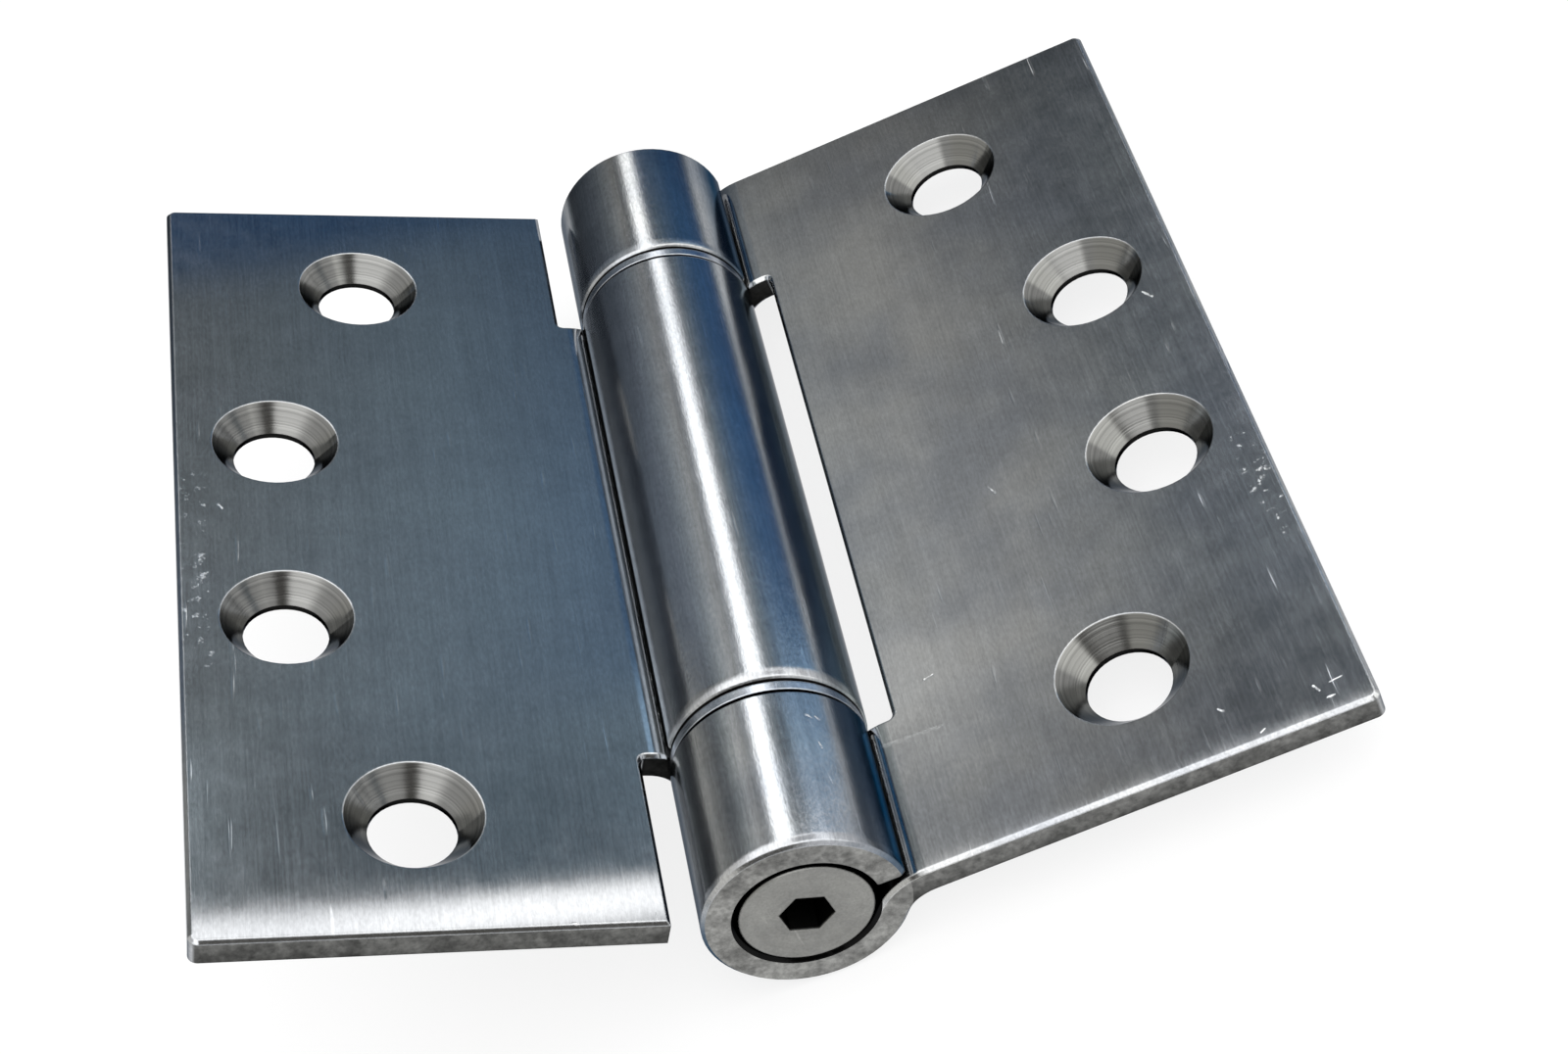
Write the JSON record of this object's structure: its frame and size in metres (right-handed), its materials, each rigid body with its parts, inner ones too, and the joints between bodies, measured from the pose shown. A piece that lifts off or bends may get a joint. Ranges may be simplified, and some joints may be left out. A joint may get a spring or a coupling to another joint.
{
  "type": "spring hinge",
  "caption": "Butt hinge whose rolled barrel hides a torsion spring, wound with a hex key, that swings the door leaf; both leaves have staggered countersunk screw holes.",
  "frame": {"origin": "on the pin axis at the middle of the hinge's height", "axes": "+Y along the pin axis away from the end with the hex socket, +X along the frame leaf away from the pin, +Z out of the frame leaf's countersunk face"},
  "size_m": [0.0995, 0.1016, 0.0349],
  "materials": {
    "frame_leaf_steel": "satin",
    "door_leaf_steel": "satin",
    "turned_steel": "satin",
    "bush_steel": "satin",
    "pin_steel": "satin",
    "spring_steel": "satin"
  },
  "bodies": {
    "frame_side": {"frame_leaf": "frame_leaf_steel", "pivot_plug": "turned_steel", "plug_pin": "pin_steel"},
    "door_side": {"door_leaf": "door_leaf_steel", "spring_anchor": "turned_steel", "anchor_pin": "pin_steel", "near_bush": "bush_steel", "far_bush": "bush_steel"},
    "tension_side": {"tension_spindle": "turned_steel", "lock_pin": "pin_steel", "torsion_spring": "spring_steel"}
  },
  "joints": [
    {"name": "door_swing", "type": "hinge", "parent": "frame_side", "child": "door_side", "pos_m": [0, 0, 0], "axis": [0, 1, 0], "range_deg": [-30, 150], "stiffness_Nm_per_rad": 0.5, "deforming": ["torsion_spring"]},
    {"name": "spring_tension", "type": "hinge", "parent": "frame_side", "child": "tension_side", "pos_m": [0, 0, 0], "axis": [0, 1, 0], "range_deg": [0, 60], "stiffness_Nm_per_rad": 0.5, "deforming": ["torsion_spring"]}
  ]
}
